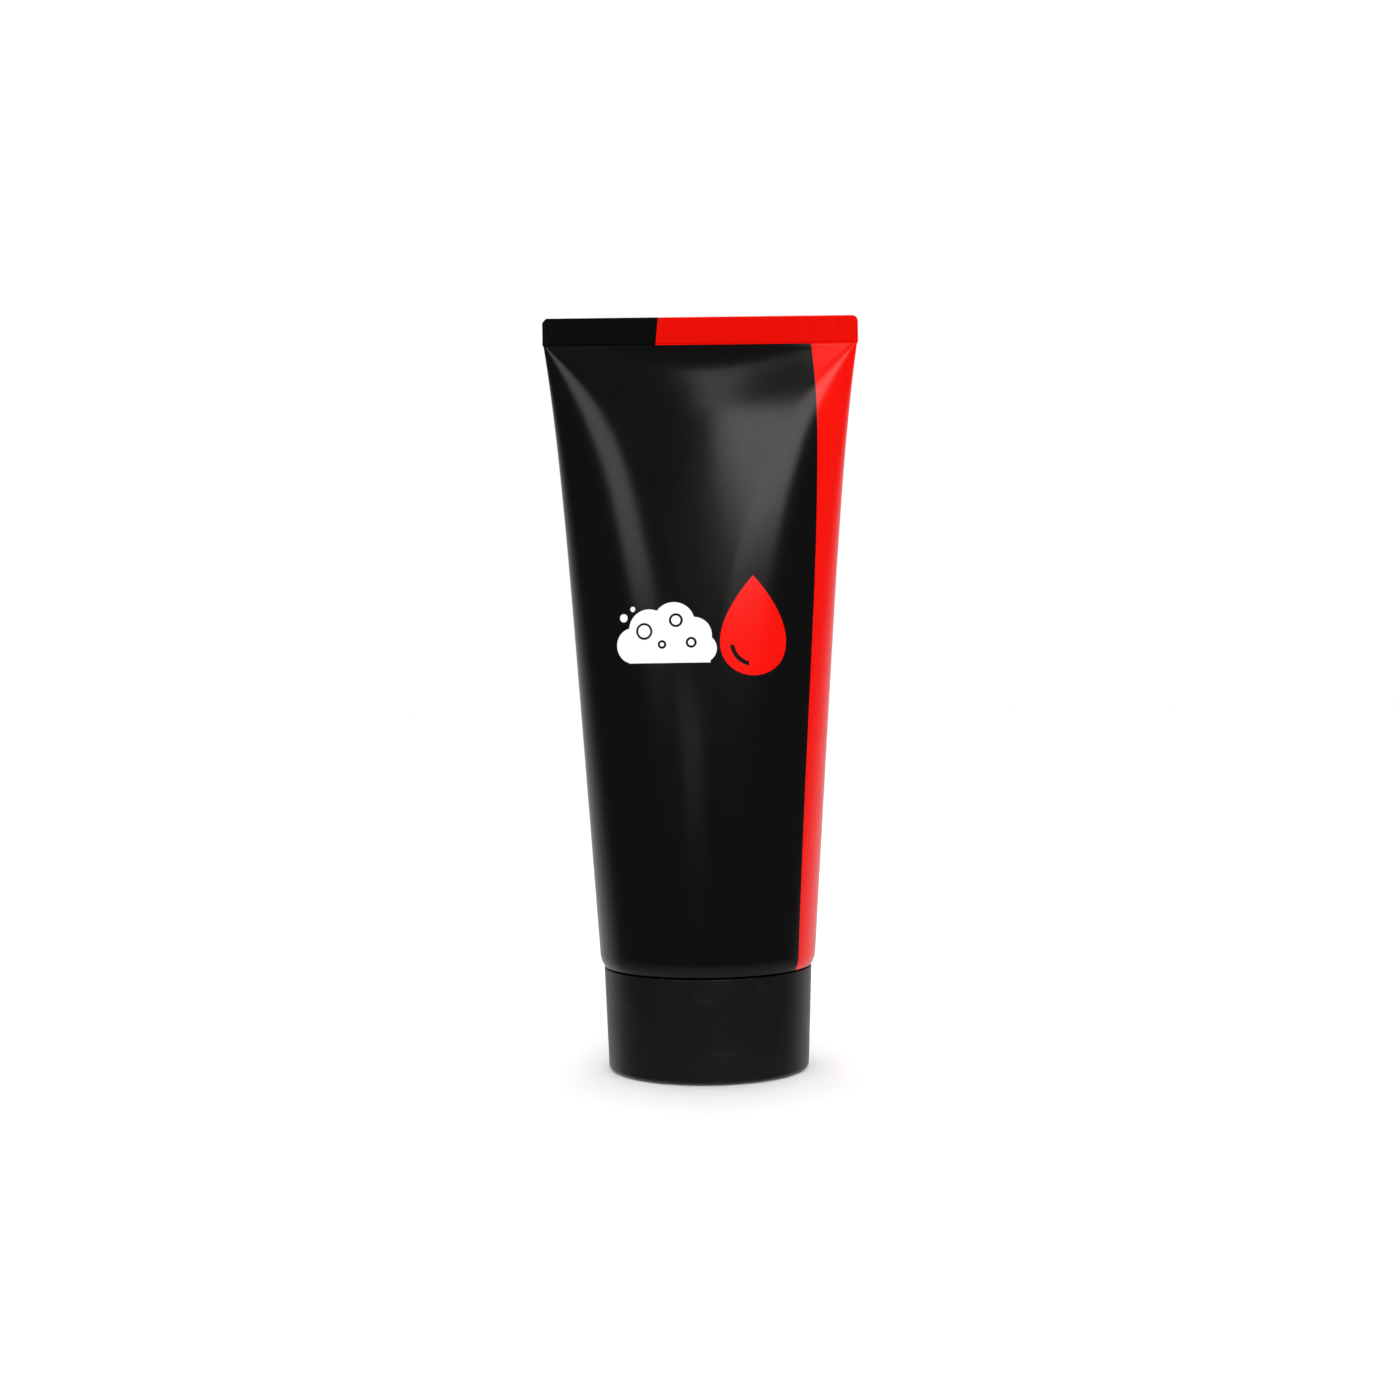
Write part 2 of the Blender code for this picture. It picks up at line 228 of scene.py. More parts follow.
def belly(share, x):
    """How far the filling pushes the sleeve out, most at the middle of its front and nothing at its sides."""
    peak = BELLY_POWER / (BELLY_POWER + 1)
    rise = share**BELLY_POWER * (1 - share) / (peak**BELLY_POWER * (1 - peak))
    return BELLY * rise * np.cos(math.pi / 2 * np.minimum(np.abs(x) / half_width(share), 1.0)) ** 2


def outline(flat, end, depth, share=0.0):
    """AROUND points at equal steps along the section, from the back's centre line round by the left side.

    Returns the points as x, y and their arc length from the front's centre line, positive to the right.
    """
    turn = np.linspace(math.pi / 2, -math.pi / 2, FINE)
    straight = np.linspace(0, flat, FINE // 4)
    side_x = flat + end * np.cos(turn)
    side_y = depth * np.sin(turn)
    half_x = np.concatenate([straight[:-1], side_x, straight[::-1][1:]])
    half_y = np.concatenate([0 * straight[:-1] + depth, side_y, 0 * straight[1:] - depth])
    x = np.concatenate([-half_x, half_x[::-1][1:]])
    y = np.concatenate([half_y, half_y[::-1][1:]])
    y = y + np.sign(y) * belly(share, x)
    length = np.concatenate([[0], np.cumsum(np.hypot(np.diff(x), np.diff(y)))])
    girth = length[-1]
    wanted = (np.arange(AROUND) + 0.5) * girth / AROUND
    return np.interp(wanted, length, x), np.interp(wanted, length, y), wanted - girth / 2


def ring_at(share, inset=0.0):
    flat = flat_half(share)
    x, y, along = outline(flat, half_width(share) - flat - inset, half_depth(share) - inset, share)
    return x, y, along, SHOULDER_LEVEL + (SEAL_FOOT - SHOULDER_LEVEL) * share


def foot_at(level, inset=0.0):
    bend = FOOT_ROUND - inset
    radius = TUBE_R - FOOT_ROUND + math.sqrt(bend**2 - (SHOULDER_LEVEL - level) ** 2)
    x, y, along = outline(LEAST_FLAT, radius - LEAST_FLAT, radius)
    return x, y, along * TUBE_R / radius, level


def ink_distance(x, along, level):
    """How far inside the red print a point is; negative on black."""
    half_girth = abs(along[0])
    climb = min(max((level - BAND_RISE[0]) / (BAND_RISE[1] - BAND_RISE[0]), 0.0), 1.0)
    tuck = max((level - BAND_TUCK_START) / (SEAL_FOOT - BAND_TUCK_START), 0.0)
    start = BAND_EDGE[0] + (BAND_EDGE[1] - BAND_EDGE[0]) * climb * climb * (3 - 2 * climb)
    start -= BAND_TUCK * tuck * tuck
    band = np.minimum(along - start, half_girth - start - along)
    edge = SEAL_PRINT_EDGE + SEAL_PRINT_SLANT * (level - SEAL_FOOT)
    return np.maximum(band, np.minimum(x - edge, level - SEAL_FOOT))


def spread(count, top, power):
    return [top * (1 - (1 - i / count) ** power) for i in range(count + 1)]


def cut_corners(x, level):
    """The seal's top corners: a small round one on the right and a cut one on the left."""
    short = TOP - level
    right = SEAL_CORNER_ROUND
    trim = right - math.sqrt(max(right**2 - max(right - short, 0) ** 2, 0))
    return np.clip(x, -SEAL_HALF + max(SEAL_CORNER_CUT - short, 0), SEAL_HALF - trim)


def outer_rings():
    foot = [foot_at(SLEEVE_FOOT + FOOT_DEPTH * i / 8) for i in range(8)]
    body = [ring_at(share) for share in spread(BODY_ROWS, 1.0, 1.25)]
    half = SEAL_THICKNESS / 2
    # Height over the seal's foot in mm, and the share of the full thickness. The jaws leave a shallow step at
    # the foot and three faint bars across.
    profile = [(0.25, 0.6), (0.45, 1.0), (0.9, 1.0)]
    for bar in (1.6, 3.1, 4.6):
        profile += [(bar, 1.0), (bar + 0.25, 0.98), (bar + 0.45, 0.98), (bar + 0.7, 1.0)]
    profile += [(5.7, 1.0), (6.0, 1.0), (6.25, 1.0), (6.45, 1.0), (6.6, 0.97), (6.7, 0.85)]
    seal = []
    for rise, fullness in profile:
        level = SEAL_FOOT + rise * MM
        x, y, along = outline(SEAL_HALF - half, half, half * fullness)
        seal.append((cut_corners(x, level), y, along, level))
    return foot + body + seal


def make_sleeve():
    outside = outer_rings()
    inside = [foot_at(SLEEVE_FOOT + FOOT_DEPTH * i / 3, WALL) for i in range(3)]
    inside += [ring_at(share, WALL) for share in spread(10, CAVITY_TOP, 1.6)]
    rings = inside[::-1] + outside
    stack = [np.column_stack([x, y, np.full(len(x), level)]) for x, y, _, level in rings]
    # Where each point lies on the print, in millimetres: along the girth, up, and into the red.
    places = [np.column_stack([a, np.full(len(a), z), ink_distance(x, a, z)]) for x, _, a, z in rings]
    made = stacked("sleeve_shell", stack, sharp_angle=40, print_places=np.vstack(places) / MM)
    for face in made.data.polygons:
        face.material_index = int(face.center.z > PRESSED_FOOT)
    return made


# ---------------------------------------------------------------- turned pieces


def thread_fade(level, span):
    share = min(level - span[0], span[1] - level) / RIDGE_FADE
    share = min(max(share, 0.0), 1.0)
    return share * share * (3 - 2 * share)


def threaded(name, before, after, root_radius, side, span, phase, closed_loop):
    """A turned solid with a two-start thread between its profile's two runs, as in the CAD but finer."""
    spacing = THREAD_LEAD / THREAD_STARTS
    tip = 2 * RIDGE_FLANK + RIDGE_CREST
    # Half a ridge, from its foot to its crest, in mm: along the axis and outwards.
    rises = [0.0, 0.12, 0.26, RIDGE_FLANK / MM, RIDGE_FLANK / MM + 0.12]
    heights = [0.0, 0.45, 0.88, 1.12, RIDGE_HEIGHT / MM]
    ridge = [(r * MM, h * MM) for r, h in zip(rises, heights)]
    ridge += [(tip - r, h) for r, h in ridge[::-1]]
    ridge_count = math.ceil((span[1] - span[0]) / spacing) + 2 * THREAD_STARTS + 1
    points, faces = [], []
    rows = (ridge_count + THREAD_STARTS) * len(ridge)
    for i in range(TURNED):
        angle = 2 * math.pi * i / TURNED
        base = span[0] + phase - 2 * THREAD_LEAD + THREAD_LEAD * i / TURNED
        for k in range(ridge_count + THREAD_STARTS):
            for rise, height in ridge:
                level = min(max(base + k * spacing + rise, span[0]), span[1])
                radius = root_radius + side * height * thread_fade(level, span)
                points.append((radius * math.cos(angle), radius * math.sin(angle), level))
    shift = THREAD_STARTS * len(ridge)
    for i in range(TURNED):
        drop = shift if i == TURNED - 1 else 0
        here = i * rows
        there = (i + 1) % TURNED * rows + drop
        faces += [(here + j, there + j, there + j + 1, here + j + 1) for j in range(rows - drop - 1)]
    first = len(points)
    below = before + [(root_radius, span[0])]
    above = [(root_radius, span[1])] + after
    for radius, level in below + above:
        points += circle(radius, level).tolist()
    for row in range(len(below) + len(above) - 1):
        if row != len(below) - 1:
            faces += skin_faces(first, TURNED, row, row + 1)
    last = len(below) + len(above) - 1
    if closed_loop:
        faces += skin_faces(first, TURNED, last, 0)
    else:
        faces.append(tuple(first + i for i in range(TURNED)))
        faces.append(tuple(first + last * TURNED + i for i in range(TURNED)))
    return object_from(name, points, faces)


def make_head():
    """Shoulder, threaded neck and orifice in one moulding."""
    weld_top = SHOULDER_LEVEL - 0.2 * MM
    bend = FOOT_ROUND - WALL - HEAD_CLEARANCE
    weld = []
    for level in (SLEEVE_FOOT + 0.1 * MM, SLEEVE_FOOT + 0.8 * MM, SLEEVE_FOOT + 1.6 * MM, weld_top):
        weld.append((TUBE_R - FOOT_ROUND + math.sqrt(bend**2 - (SHOULDER_LEVEL - level) ** 2), level))
    root_round = 0.9 * MM
    throat_round = 1.0 * MM
    corner = 0.6 * MM
    neck_tip = head_low.z
    plate = neck_tip + ORIFICE_PLATE
    shoulder = NECK_ROOT + 1.6 * MM
    after = [
        *arc((NECK_R + root_round, NECK_ROOT - root_round), root_round, 180, 99),
        (weld[0][0] - 1.4 * MM, SLEEVE_FOOT - 0.1 * MM),
        *weld,
        (weld[-1][0] - 0.7 * MM, weld_top),
        (weld[-1][0] - 2.2 * MM, weld_top - 0.8 * MM),
        (NECK_BORE_R + throat_round, shoulder),
        *arc((NECK_BORE_R + throat_round, shoulder - throat_round), throat_round, 105, 180, 4),
        *arc((NECK_BORE_R - corner, plate + corner), corner, 0, -90, 4),
        (ORIFICE_R + 0.2 * MM, plate),
        (ORIFICE_R, plate - 0.2 * MM),
    ]
    tip = [(ORIFICE_R, neck_tip + 0.1 * MM), (ORIFICE_R + 0.1 * MM, neck_tip)]
    tip += arc((NECK_R - corner, neck_tip + corner), corner, -90, 0)
    return threaded("tube_neck", tip, after, NECK_R, 1, NECK_THREAD, 0.0, closed_loop=True)


def make_cap():
    """Outer skirt, end disc, threaded inner skirt, seat ring and ribs in one moulding."""
    floor = 2.0 * MM
    wall = 1.4 * MM
    seat_inner, seat_outer, seat_top = 7.0 * MM, 8.4 * MM, 4.45 * MM
    skirt_r, skirt_top = 14.2 * MM, 20.0 * MM
    recess_r, recess_depth = 17.6 * MM, 0.5 * MM
    gate_r = 2.0 * MM
    edge = 1.0 * MM
    lip = 0.25 * MM
    chamfer = 0.2 * MM
    inside = [
        (seat_inner, floor),
        (seat_inner, seat_top - chamfer),
        (seat_inner + chamfer, seat_top),
        (seat_outer - chamfer, seat_top),
        (seat_outer, seat_top - chamfer),
        (seat_outer, floor),
        (SKIRT_BORE_R - 0.4 * MM, floor),
        (SKIRT_BORE_R, floor + 0.4 * MM),
    ]
    outside = [
        (SKIRT_BORE_R, skirt_top - 0.6 * MM),
        (SKIRT_BORE_R + 0.6 * MM, skirt_top),
        (skirt_r - chamfer, skirt_top),
        (skirt_r, skirt_top - chamfer),
        (skirt_r, floor + 0.4 * MM),
        (skirt_r + 0.4 * MM, floor),
        (CAP_BASE_R - wall - 0.6 * MM, floor),
        (CAP_BASE_R - wall, floor + 0.6 * MM),
        (CAP_RIM_R - wall, CAP_TOP - 0.15 * MM),
        (CAP_RIM_R - wall + 0.15 * MM, CAP_TOP),
        *arc((CAP_RIM_R - lip, CAP_TOP - lip), lip, 90, 0, 5),
        *arc((CAP_BASE_R - edge, edge), edge, 0, -90, 8),
        (recess_r, 0.0),
        (recess_r - 0.15 * MM, 0.1 * MM),
        (recess_r - 0.55 * MM, recess_depth - 0.05 * MM),
        (recess_r - 0.7 * MM, recess_depth),
        (gate_r, recess_depth),
        (gate_r - 0.1 * MM, 0.3 * MM),
        (gate_r - 0.8 * MM, 0.25 * MM),
    ]
    phase = NECK_THREAD[0] - CAP_THREAD[0] + THREAD_LEAD / THREAD_STARTS / 2
    cap = threaded("cap_shell", inside, outside, SKIRT_BORE_R, -1, CAP_THREAD, phase, closed_loop=False)
    return with_ribs(cap, skirt_r, CAP_BASE_R - wall, floor)


def with_ribs(cap, skirt_r, wall_r, floor):
    """The cap with eight radial ribs joined to its two skirts and its end disc."""
    sink = 0.4 * MM
    count = 8
    thick = 1.0 * MM
    top = 13.0 * MM
    work = bmesh.new()
    for i in range(count):
        box = bmesh.ops.create_cube(work, size=1.0)["verts"]
        bmesh.ops.scale(work, vec=(wall_r - skirt_r + 2 * sink, thick, top - floor + sink), verts=box)
        bmesh.ops.translate(work, vec=((skirt_r + wall_r) / 2, 0, (top + floor - sink) / 2), verts=box)
        turn = Matrix.Rotation(2 * math.pi * (i + 0.5) / count, 3, "Z")
        bmesh.ops.rotate(work, cent=(0, 0, 0), matrix=turn, verts=box)
    data = bpy.data.meshes.new("ribs")
    work.to_mesh(data)
    work.free()
    ribs = bpy.data.objects.new("ribs", data)
    bpy.context.scene.collection.objects.link(ribs)
    union = cap.modifiers.new("ribs", "BOOLEAN")
    union.operation = "UNION"
    union.solver = "EXACT"
    union.object = ribs
    graph = bpy.context.evaluated_depsgraph_get()
    joined = bpy.data.meshes.new_from_object(cap.evaluated_get(graph))
    cap.modifiers.clear()
    cap.data = joined
    bpy.data.objects.remove(ribs)
    joined.shade_smooth()
    joined.set_sharp_from_angle(angle=math.radians(30))
    return cap


def turned(name, profile):
    return stacked(name, [circle(*place) for place in profile])


def make_foil():
    """A sealing membrane with pressed rings where it is welded to the neck's tip and round the orifice."""
    low, high, edge = foil_low.z, foil_high.z, foil_high.x
    dent = 0.05 * MM
    welded = 9.5 * MM
    over_orifice = ORIFICE_R + 0.2 * MM
    profile = [
        (2.0 * MM, high),
        (edge - dent, high),
        (edge, high - dent),
        (edge, low + dent),
        (edge - dent, low),
        (welded + 0.5 * MM, low),
        (welded + 0.4 * MM, low + dent),
        (welded + 0.1 * MM, low + dent),
        (welded, low),
        (over_orifice + 0.8 * MM, low),
        (over_orifice + 0.4 * MM, low + dent),
        (over_orifice + 0.2 * MM, low + dent),
        (over_orifice, low),
        (1.0 * MM, low),
    ]
    return turned("foil_seal", profile)


def make_liner():
    """The foam disc, pressed in a little where the neck bears on it."""
    low, high, edge = liner_low.z, liner_high.z, liner_high.x
    bend = 0.3 * MM
    dent = 0.08 * MM
    slope = 0.2 * MM
    profile = [
        (1.0 * MM, low),
        (edge - bend, low),
        *arc((edge - bend, low + bend), bend, -60, 0, 3),
        *arc((edge - bend, high - bend), bend, 0, 90, 3),
        (NECK_R, high),
        (NECK_R - slope, high - dent),
        (NECK_BORE_R + slope, high - dent),
        (NECK_BORE_R, high),
        (1.0 * MM, high),
    ]
    return turned("foam_liner", profile)


# ---------------------------------------------------------------- materials


class Nodes:
    """A node material with shorthand for the nodes used here."""

    def __init__(self, name):
        self.material = bpy.data.materials.new(name)
        self.material.use_nodes = True
        self.tree = self.material.node_tree
        self.shader = self.tree.nodes["Principled BSDF"]

    def node(self, kind, **settings):
        made = self.tree.nodes.new("ShaderNode" + kind)
        for key, value in settings.items():
            setattr(made, key, value)
        return made

    def put(self, socket, value):
        if isinstance(value, bpy.types.NodeSocket):
            self.tree.links.new(value, socket)
        elif value is not None:
            socket.default_value = value

    def math(self, operation, a, b=None, c=None, clamp=False):
        made = self.node("Math", operation=operation, use_clamp=clamp)
        for socket, value in zip(made.inputs, (a, b, c)):
            self.put(socket, value)
        return made.outputs[0]

    def ramp(self, value, low, high, to_low=0.0, to_high=1.0, smooth=False):
        kind = "SMOOTHSTEP" if smooth else "LINEAR"
        made = self.node("MapRange", interpolation_type=kind)
        for socket, number in zip(made.inputs, (value, low, high, to_low, to_high)):
            self.put(socket, number)
        return made.outputs[0]

    def mix(self, factor, a, b):
        made = self.node("Mix", data_type="RGBA")
        self.put(made.inputs[0], factor)
        for socket, value in zip(made.inputs[6:8], (a, b)):
            self.put(socket, (*value, 1.0) if isinstance(value, tuple) else value)
        return made.outputs[2]

    def place(self):
        return self.node("TexCoord").outputs["Object"]

    def stretched(self, scale):
        made = self.node("Mapping")
        self.put(made.inputs["Vector"], self.place())
        made.inputs["Scale"].default_value = scale
        return made.outputs[0]

    def noise(self, scale, detail=3.0, roughness=0.55, where=None):
        made = self.node("TexNoise")
        self.put(made.inputs["Vector"], where or self.place())
        self.put(made.inputs["Scale"], scale)
        self.put(made.inputs["Detail"], detail)
        self.put(made.inputs["Roughness"], roughness)
        return made.outputs[0]

    def bump(self, height, distance, strength=1.0, after=None):
        made = self.node("Bump")
        self.put(made.inputs["Height"], height)
        made.inputs["Distance"].default_value = distance
        made.inputs["Strength"].default_value = strength
        if after:
            self.put(made.inputs["Normal"], after)
        return made.outputs[0]

    def set(self, **sockets):
        names = {"color": "Base Color", "roughness": "Roughness", "normal": "Normal", "metallic": "Metallic"}
        names |= {"ior": "IOR", "specular": "Specular IOR Level"}
        names |= {"glow": "Subsurface Weight", "radius": "Subsurface Scale"}
        for key, value in sockets.items():
            self.put(self.shader.inputs[names[key]], (*value, 1.0) if isinstance(value, tuple) else value)
        return self.material


def disc(nodes, u, v, centre, radius):
    """Distance from a circle's edge, positive inside, in the print's millimetres."""
    du = nodes.math("SUBTRACT", u, centre[0])
    dv = nodes.math("SUBTRACT", v, centre[1])
    squares = [nodes.math("MULTIPLY", side, side) for side in (du, dv)]
    return nodes.math("SUBTRACT", radius, nodes.math("SQRT", nodes.math("ADD", *squares)))


def largest(nodes, values):
    found = values[0]
    for value in values[1:]:
        found = nodes.math("MAXIMUM", found, value)
    return found


def crisp(nodes, distance, soft=0.04):
    return nodes.ramp(distance, -soft, soft)


def discs(nodes, u, v, centre, circles):
    return [disc(nodes, u, v, (centre[0] + x, centre[1] + y), radius) for x, y, radius in circles]


def foam_mask(nodes, u, v):
    """A heap of lather: round lobes on a level base, with a few bubbles left open."""
    cu, cv = FOAM_CENTRE
    body = largest(nodes, discs(nodes, u, v, FOAM_CENTRE, FOAM_LOBES))
    base = nodes.math("SUBTRACT", v, cv + FOAM_FOOT)
    left = nodes.math("SUBTRACT", u, cu + FOAM_SLAB_SIDES[0])
    right = nodes.math("SUBTRACT", cu + FOAM_SLAB_SIDES[1], u)
    below = nodes.math("SUBTRACT", cv + FOAM_SLAB_TOP, v)
    slab = nodes.math("MINIMUM", nodes.math("MINIMUM", left, right), nodes.math("MINIMUM", base, below))
    heap = nodes.math("MINIMUM", largest(nodes, [body, slab]), base)
    bubbles = []
    for bubble in discs(nodes, u, v, FOAM_CENTRE, FOAM_BUBBLES):
        bubbles.append(nodes.math("SUBTRACT", BUBBLE_LINE, nodes.math("ABSOLUTE", bubble)))
    open_rings = crisp(nodes, largest(nodes, bubbles))
    filled = crisp(nodes, largest(nodes, [heap] + discs(nodes, u, v, FOAM_CENTRE, FOAM_LOOSE)))
    return nodes.math("SUBTRACT", filled, open_rings, clamp=True)


def drop_mask(nodes, u, v):
    """A water drop with a curved gleam left open in its lower left."""
    cu, cv = DROP_CENTRE
    spread_to, tall = DROP_SIZE
    climb = nodes.ramp(v, cv - tall / 2, cv + tall / 2)
    width = nodes.math("MULTIPLY", nodes.math("SQRT", climb), nodes.math("SUBTRACT", 1.0, climb))
    width = nodes.math("MULTIPLY", width, spread_to)
    away = nodes.math("ABSOLUTE", nodes.math("SUBTRACT", u, cu))
    body = crisp(nodes, nodes.math("SUBTRACT", nodes.math("SUBTRACT", width, away), DROP_TRIM))
    (circle_edge,) = discs(nodes, u, v, DROP_CENTRE, [GLEAM])
    line = nodes.math("SUBTRACT", GLEAM_LINE, nodes.math("ABSOLUTE", circle_edge))
    left = nodes.math("SUBTRACT", cu + GLEAM_CORNER[0], u)
    low = nodes.math("SUBTRACT", cv + GLEAM_CORNER[1], v)
    gleam = crisp(nodes, nodes.math("MINIMUM", line, nodes.math("MINIMUM", left, low)))
    return nodes.math("SUBTRACT", body, gleam, clamp=True)


BLACK = (0.0022, 0.0022, 0.0022)
RED = (0.79, 0.004, 0.001)
WHITE = (0.88, 0.88, 0.87)
# The seal's red is the body's red ink painted darker, as painted shade.
SEAL_SHADED_RED = (0.66, 0.003, 0.001)
TOP_EDGE_RED = (0.85, 0.16, 0.12)  # a lighter, pinker red along the top edge of the seal's red print
TOP_EDGE_BAND = 0.12 * MM


def print_material(name, specular, red_ink):
    """Satin lacquer over a black sleeve with red and white inks."""
    n = Nodes(name)
    where = n.node("Attribute", attribute_name="print_at", attribute_type="GEOMETRY")
    split = n.node("SeparateXYZ")
    n.put(split.inputs[0], where.outputs["Vector"])
    u, v, inside = split.outputs
    body = n.node("SeparateXYZ")
    n.put(body.inputs[0], n.place())
    front = n.math("LESS_THAN", body.outputs[1], 0.0)
    red = crisp(n, inside)
    white = n.math("MULTIPLY", foam_mask(n, u, v), front)
    drop = n.math("MULTIPLY", drop_mask(n, u, v), front)
    ink = n.math("MAXIMUM", red, drop)
    cloud = n.noise(90.0, 2.0)
    black = n.mix(n.ramp(cloud, 0.3, 0.7), BLACK, (0.0027, 0.0027, 0.0028))
    # For the seal this red is painted darker than the body's, as painted shade.
    color = n.mix(ink, black, red_ink)
    color = n.mix(white, color, WHITE)
    # The red print turns lighter and pinker in a thin band along the seal's top edge.
    top_edge = n.math("MULTIPLY", n.math("GREATER_THAN", body.outputs[2], TOP - TOP_EDGE_BAND), red)
    color = n.mix(top_edge, color, TOP_EDGE_RED)
    fine = n.noise(2600.0, 2.0)
    mottle = n.noise(260.0, 3.0)
    roughness = n.math("ADD", n.ramp(mottle, 0.25, 0.75, 0.17, 0.20), n.ramp(fine, 0.2, 0.8, -0.01, 0.01))
    seal = n.math("GREATER_THAN", v, PRESSED_FOOT / MM)
    roughness = n.math("ADD", roughness, n.math("MULTIPLY", white, 0.1))
    ribs = n.math("MULTIPLY", n.math("SINE", n.math("MULTIPLY", u, 2 * math.pi * MM / RIB_PITCH)), seal)
    grain = n.bump(fine, 0.006 * MM)
    ripple = n.bump(n.noise(70.0, 1.0, 0.4, n.stretched((1.0, 1.0, 0.45))), 0.25 * MM, 0.35, grain)
    pressed = n.bump(ribs, 0.008 * MM, 0.5, ripple)
    printed = n.bump(n.math("MAXIMUM", ink, white), 0.01 * MM, 0.6, pressed)
    return n.set(color=color, roughness=roughness, normal=printed, ior=1.46, specular=specular)


def moulded(name, tone, rough):
    """Moulded plastic with a fine spark-eroded grain and a little scuffing."""
    n = Nodes(name)
    cloud = n.noise(120.0, 3.0)
    scuff = n.noise(75.0, 6.0, 0.7, n.stretched((1.0, 1.0, 3.0)))
    marks = n.ramp(scuff, 0.57, 0.67)
    dark = tuple(0.85 * c for c in tone)
    light = tuple(1.2 * c for c in tone)
    color = n.mix(n.ramp(cloud, 0.3, 0.7), dark, light)
    color = n.mix(n.math("MULTIPLY", marks, 0.5), color, tuple(3.2 * c for c in tone))
    roughness = n.ramp(cloud, 0.2, 0.8, rough - 0.03, rough + 0.03)
    roughness = n.math("ADD", roughness, n.math("MULTIPLY", marks, 0.06))
    speck = n.bump(n.noise(3200.0, 3.0, 0.6), 0.01 * MM)
    swell = n.bump(n.noise(110.0, 1.0), 0.05 * MM, 0.4, speck)
    return n.set(color=color, roughness=roughness, normal=swell, ior=1.49)


def foil_materials():
    n = Nodes("foil")
    brushed = n.noise(220.0, 4.0, 0.6, n.stretched((1.0, 14.0, 1.0)))
    crinkle = n.noise(420.0, 3.0)
    color = n.mix(n.ramp(brushed, 0.3, 0.7), (0.70, 0.71, 0.72), (0.82, 0.83, 0.84))
    roughness = n.ramp(brushed, 0.25, 0.75, 0.22, 0.36)
    return (n.set(color=color, roughness=roughness, metallic=1.0, normal=n.bump(crinkle, 0.05 * MM, 0.5)),)


def cream_material():
    n = Nodes("cream")
    swirl = n.noise(60.0, 4.0, 0.5, n.stretched((1.0, 1.0, 2.2)))
    bubbles = n.noise(1100.0, 2.0)
    color = n.mix(n.ramp(swirl, 0.3, 0.7), (0.86, 0.86, 0.84), (0.92, 0.92, 0.90))
    normal = n.bump(bubbles, 0.05 * MM, 0.4, n.bump(swirl, 0.8 * MM, 0.5))
    roughness = n.ramp(swirl, 0.2, 0.8, 0.38, 0.5)
    return n.set(color=color, roughness=roughness, normal=normal, glow=0.25, radius=4.0 * MM)


def liner_materials():
    n = Nodes("liner_foam")
    cells = n.node("TexVoronoi")
    n.put(cells.inputs["Vector"], n.place())
    cells.inputs["Scale"].default_value = 3500.0
    pores = n.ramp(cells.outputs["Distance"], 0.0, 0.6)
    color = n.mix(pores, (0.70, 0.70, 0.68), (0.84, 0.84, 0.82))
    roughness = n.ramp(pores, 0.0, 1.0, 0.8, 0.65)
    return (n.set(color=color, roughness=roughness, normal=n.bump(pores, 0.04 * MM, 0.7)),)


def sleeve_materials():
    """The sleeve's print, and the same print pressed dull in the seal, where its red is painted darker as
    shade.
    """
    body = print_material("sleeve_print", specular=0.5, red_ink=RED)
    seal = print_material("seal_print", specular=0.12, red_ink=SEAL_SHADED_RED)
    return body, seal


def head_materials():
    return (moulded("head_polymer", (0.011, 0.011, 0.011), 0.45),)


def cap_materials():
    return (moulded("cap_polymer", (0.0048, 0.0045, 0.0048), 0.36),)


def dress(piece, materials):
    for material in materials:
        piece.data.materials.append(material)


# ---------------------------------------------------------------- the pieces

for node, body, slot, make, finish in (
    ("tube_sleeve", "tube", "sleeve_print", make_sleeve, sleeve_materials),
    ("tube_head", "tube", "head_polymer", make_head, head_materials),
    ("foil_membrane", "tube", "foil", make_foil, foil_materials),
    ("cap_liner", "liner", "liner_foam", make_liner, liner_materials),
    ("screw_cap", "cap", "cap_polymer", make_cap, cap_materials),
):
    piece = make()
    dress(piece, finish())
    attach(piece, body)
    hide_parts(node)

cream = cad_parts["cream_fill"]
cream_look = cream_material()
for place in cream.material_slots:
    place.material = cream_look


# ---------------------------------------------------------------- camera

CAMERA_DISTANCE = 0.45
CAMERA_ELEVATION = 0.13  # degrees, as the roll
CAMERA_ROLL = 0.716
VIEW_WIDTH = 0.33702  # across the picture, at the tube's axis
AIM = Vector((-1.13 * MM, 0.0, 87.9 * MM))


def toward(azimuth, elevation):
    """The direction from the object to a place at this bearing, 0 being the front and 90 the right."""
    a, e = math.radians(azimuth), math.radians(elevation)
    return Vector((math.sin(a) * math.cos(e), -math.cos(a) * math.cos(e), math.sin(e)))


lens = bpy.data.cameras.new("camera")
lens.sensor_width = 36.0
lens.lens = CAMERA_DISTANCE * lens.sensor_width / VIEW_WIDTH
lens.clip_end = 60.0
camera = bpy.data.objects.new("camera", lens)
bpy.context.scene.collection.objects.link(camera)
back = toward(0, CAMERA_ELEVATION)
camera.location = AIM + back * CAMERA_DISTANCE
look = (-back).to_track_quat("-Z", "Y").to_matrix() @ Matrix.Rotation(math.radians(-CAMERA_ROLL), 3, "Z")
camera.rotation_euler = look.to_euler()
bpy.context.scene.camera = camera


# ---------------------------------------------------------------- light, floor, backdrop

LAMP_DISTANCE = 1.0
LAMP_AIM = Vector((0, 0, 0.1))
LAMP_COLOR = (1.0, 0.975, 0.93)


